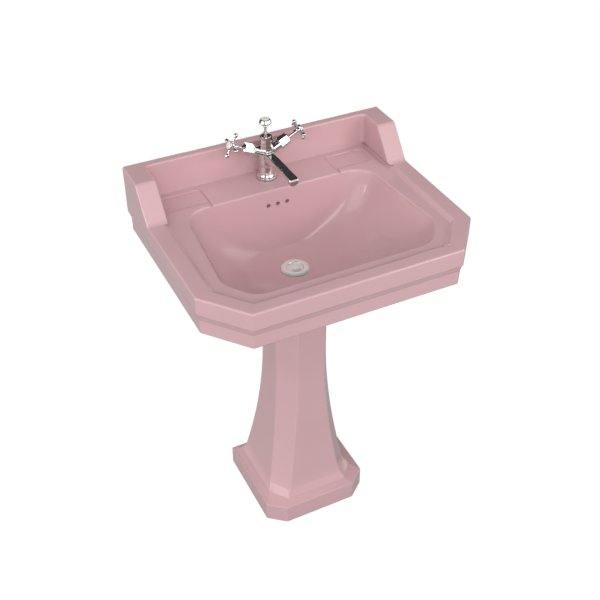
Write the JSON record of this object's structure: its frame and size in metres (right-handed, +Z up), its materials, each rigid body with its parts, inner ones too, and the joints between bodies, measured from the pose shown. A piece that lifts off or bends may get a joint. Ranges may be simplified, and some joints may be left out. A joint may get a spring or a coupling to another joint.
{
  "type": "pedestal sink",
  "caption": "Glazed china washbasin with raised back ledge on a flared pedestal, with a two-handle mixer tap, lift-rod pop-up waste and bottle trap.",
  "frame": {"origin": "on the floor, under the centre of the basin's footprint (610 x 486 mm), at the level of the pedestal's foot", "axes": "+Z up, +Y towards the wall, +X to the right of someone who faces the wall"},
  "size_m": [0.61, 0.486, 0.9597],
  "materials": {
    "pink_china": "gloss pink glaze",
    "chrome": "polished chrome plate",
    "brass": "turned, unplated",
    "steel": "zinc bright",
    "copper": "drawn copper tube",
    "rubber": "moulded",
    "white_plastic": "moulded",
    "insert_plastic": "moulded",
    "white_china": "gloss white glaze",
    "bedding": "cured sealant"
  },
  "bodies": {
    "root": {"basin": "pink_china", "pedestal": "pink_china", "pedestal_bedding": "bedding", "mixer_body": "chrome", "tap_base_seal": "rubber", "aerator_housing": "chrome", "aerator_insert": "insert_plastic", "horseshoe_seal": "rubber", "horseshoe_plate": "steel", "tap_stud": "steel", "tap_stud_nut": "brass", "hot_cartridge": "brass", "hot_valve_seat": "rubber", "hot_valve_bonnet": "chrome", "hot_tail": "copper", "cold_cartridge": "brass", "cold_valve_seat": "rubber", "cold_valve_bonnet": "chrome", "cold_tail": "copper", "rod_bonnet": "chrome", "waste_body": "chrome", "waste_top_seal": "rubber", "waste_lower_seal": "rubber", "waste_backnut": "brass", "pivot_seat": "rubber", "pivot_nut": "chrome", "trap_body": "white_plastic", "trap_cup": "white_plastic", "trap_cup_seal": "rubber", "trap_inlet_seal": "rubber", "trap_inlet_nut": "white_plastic", "trap_outlet_seal": "rubber", "trap_outlet_nut": "white_plastic", "outlet_pipe": "white_plastic"},
    "hot_handle_set": {"hot_spindle": "chrome", "hot_handle": "chrome", "hot_handle_screw": "steel", "hot_handle_cap": "white_china"},
    "cold_handle_set": {"cold_spindle": "chrome", "cold_handle": "chrome", "cold_handle_screw": "steel", "cold_handle_cap": "white_china"},
    "lift_rod_set": {"lift_knob": "chrome", "knob_disc": "white_china", "lift_rod": "chrome", "rod_clamp": "brass", "clamp_screw": "brass", "strap": "steel"},
    "lever_set": {"pivot_lever": "steel", "lever_clip": "steel"},
    "plug_set": {"plug": "chrome", "plug_seal": "rubber"}
  },
  "joints": [
    {"name": "hot_handle_turn", "type": "hinge", "parent": "root", "child": "hot_handle_set", "pos_m": [0, 0.192, 0.8755], "axis": [-0.8988, 0, 0.4384], "range_deg": [0, 90]},
    {"name": "cold_handle_turn", "type": "hinge", "parent": "root", "child": "cold_handle_set", "pos_m": [0, 0.192, 0.8755], "axis": [0.8988, 0, 0.4384], "range_deg": [0, 90]},
    {"name": "rod_lift", "type": "slide", "parent": "root", "child": "lift_rod_set", "axis": [0, 0, 1], "range_m": [-0.01, 0]},
    {"name": "lever_tilt", "type": "hinge", "parent": "root", "child": "lever_set", "pos_m": [0, 0.078, 0.598], "axis": [1, 0, 0], "range_deg": [-9.6, 0]},
    {"name": "plug_rise", "type": "slide", "parent": "root", "child": "plug_set", "axis": [0, 0, 1], "range_m": [0, 0.0047]}
  ],
  "couplings": [
    {"joint": "lever_tilt", "follows": "rod_lift", "rad_per_m": 16.667},
    {"joint": "plug_rise", "follows": "rod_lift", "ratio": -0.46667}
  ]
}
